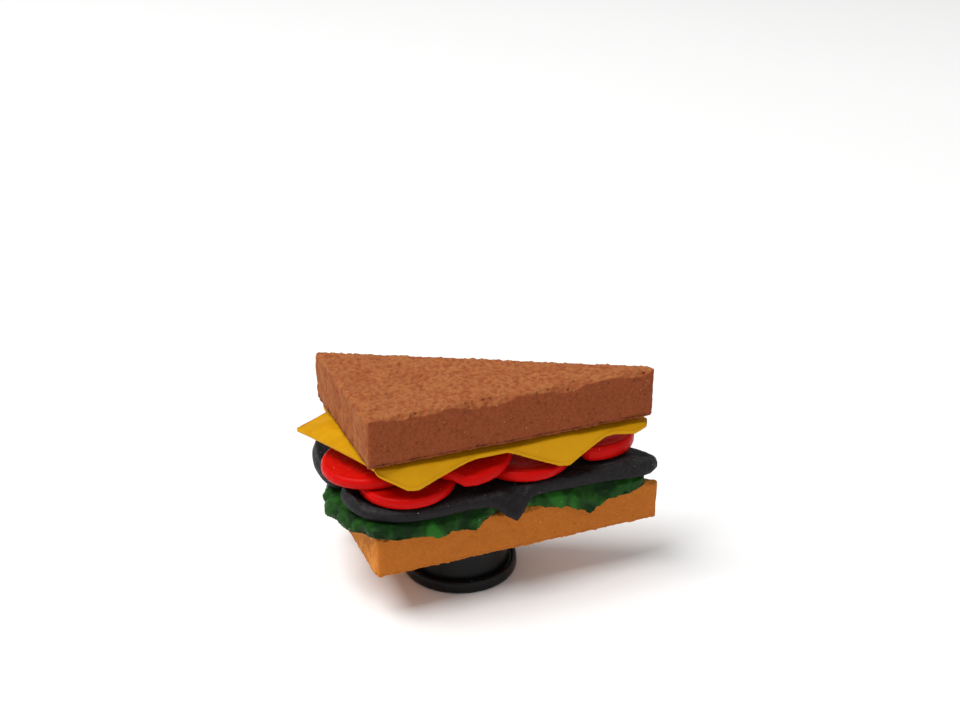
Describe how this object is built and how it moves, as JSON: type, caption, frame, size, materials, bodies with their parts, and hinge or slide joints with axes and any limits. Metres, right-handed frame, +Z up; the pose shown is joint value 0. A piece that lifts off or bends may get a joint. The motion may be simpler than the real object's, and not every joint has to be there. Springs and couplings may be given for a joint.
{
  "type": "toy sandwich charm",
  "caption": "Small soft-plastic toy sandwich, cut corner to corner, with bread, cheese, tomato, dark slices and lettuce, on a flanged push-in stud.",
  "frame": {"origin": "centre of the flat underside of the stud's flange", "axes": "+X along the long cut edge of the bread towards its sharp corner, -Y out of that long edge's face, +Z up through the sandwich away from the stud"},
  "size_m": [0.0363, 0.0206, 0.0228],
  "materials": {
    "stud_black": "glossy black",
    "bread_tan": "matt, pitted like toast",
    "lettuce_green": "satin, ruffled",
    "slice_dark": "matt dark grey",
    "tomato_red": "satin gloss",
    "cheese_yellow": "satin",
    "bread_brown": "matt, pitted like toast"
  },
  "bodies": {
    "root": {"stud": "stud_black", "lower_bread": "bread_tan", "lettuce": "lettuce_green", "dark_slice_back": "slice_dark", "dark_slice_front": "slice_dark", "tomato_1": "tomato_red", "tomato_2": "tomato_red", "tomato_3": "tomato_red", "tomato_4": "tomato_red", "tomato_5": "tomato_red", "tomato_6": "tomato_red", "cheese": "cheese_yellow", "upper_bread": "bread_brown"}
  },
  "joints": []
}
